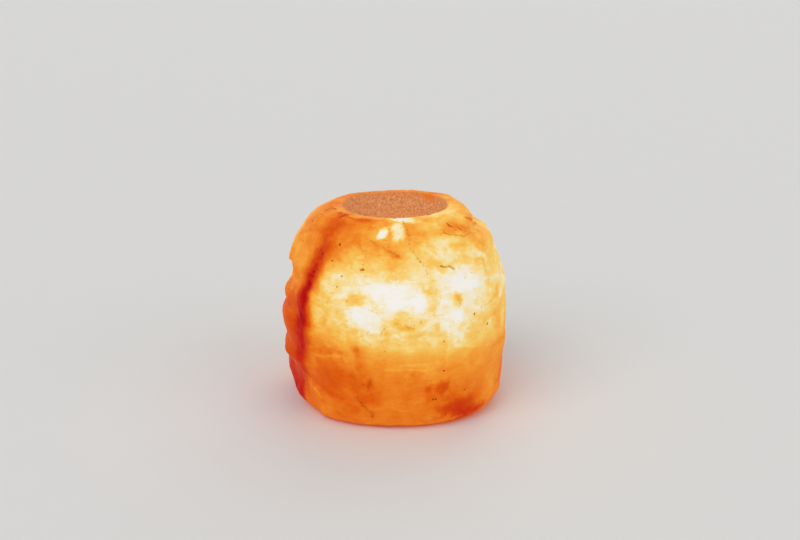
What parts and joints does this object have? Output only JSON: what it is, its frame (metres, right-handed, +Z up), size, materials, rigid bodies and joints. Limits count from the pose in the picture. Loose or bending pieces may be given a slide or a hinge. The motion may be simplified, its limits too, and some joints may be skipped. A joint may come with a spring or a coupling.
{
  "type": "salt crystal lamp",
  "caption": "Lit rough-hewn salt block with an open round bowl in its crown, bored from beneath for a small screw-base lamp unit held by sprung arms.",
  "frame": {"origin": "on the surface the lamp stands on, under the middle of the block's bounding box; the bore and the bowl stand on the Z axis", "axes": "+X along the block's width, towards the viewer's right; +Y to the rear, where the cord's groove comes out; +Z up, out of the bowl"},
  "size_m": [0.136, 0.13, 0.12],
  "materials": {
    "salt": "rough hewn and translucent, glowing orange from within",
    "felt": "felt",
    "black_plastic": "satin",
    "white_ceramic": "matt",
    "brass": "pressed",
    "zinc_steel": "zinc plated",
    "spring_steel": "bright",
    "nickel": "nickel plated",
    "black_glass": "glossy black glass",
    "solder": "dull solder",
    "clear_glass": "clear",
    "wire": "drawn",
    "glowing_wire": "glowing"
  },
  "bodies": {
    "block": {"salt_block": "salt", "felt_pad_front_right": "felt", "felt_pad_rear_right": "felt", "felt_pad_rear_left": "felt", "felt_pad_front_left": "felt"},
    "lamp_unit": {"cord_grip": "zinc_steel", "cord_grip_screw": "zinc_steel", "cord_grip_nut": "zinc_steel", "holder_dome": "black_plastic", "holder_skirt": "black_plastic", "holder_insert": "white_ceramic", "screw_shell": "brass", "shell_rivets": "brass", "contact_spring": "spring_steel", "live_terminal": "brass", "neutral_terminal": "brass", "terminal_screws": "zinc_steel", "clip_bracket": "zinc_steel", "clip_pin_left": "zinc_steel", "clip_pin_right": "zinc_steel", "clip_spring_left": "spring_steel", "clip_spring_right": "spring_steel"},
    "left_arm": {"clip_arm_left": "spring_steel"},
    "right_arm": {"clip_arm_right": "spring_steel"},
    "contact": {"contact_plunger": "brass"},
    "bulb": {"bulb_cap": "nickel", "bulb_cap_insulator": "black_glass", "bulb_tip": "solder", "bulb_glass": "clear_glass", "glass_stem": "clear_glass", "lead_wires": "wire", "filament": "glowing_wire", "filament_supports": "wire"}
  },
  "joints": [
    {"name": "unit_pull", "type": "slide", "parent": "block", "child": "lamp_unit", "axis": [0, 0, 1], "range_m": [-0.1, 0]},
    {"name": "left_arm_pivot", "type": "hinge", "parent": "lamp_unit", "child": "left_arm", "pos_m": [-0.0175, 0, 0.0336], "axis": [0, 1, 0], "range_deg": [0, 10], "stiffness_Nm_per_rad": 0.05, "springref_deg": -28.65},
    {"name": "right_arm_pivot", "type": "hinge", "parent": "lamp_unit", "child": "right_arm", "pos_m": [0.0175, 0, 0.0336], "axis": [0, -1, 0], "range_deg": [0, 10], "stiffness_Nm_per_rad": 0.05, "springref_deg": -28.65},
    {"name": "contact_rise", "type": "slide", "parent": "lamp_unit", "child": "contact", "axis": [0, 0, 1], "range_m": [0, 0.0029], "deforming": ["contact_spring"]},
    {"name": "bulb_turn", "type": "hinge", "parent": "contact", "child": "bulb", "pos_m": [0, 0, 0.0397], "axis": [0, 0, 1], "range_deg": [0, 360]}
  ],
  "couplings": [
    {"joint": "contact_rise", "follows": "bulb_turn", "m_per_rad": 0.00044913}
  ]
}
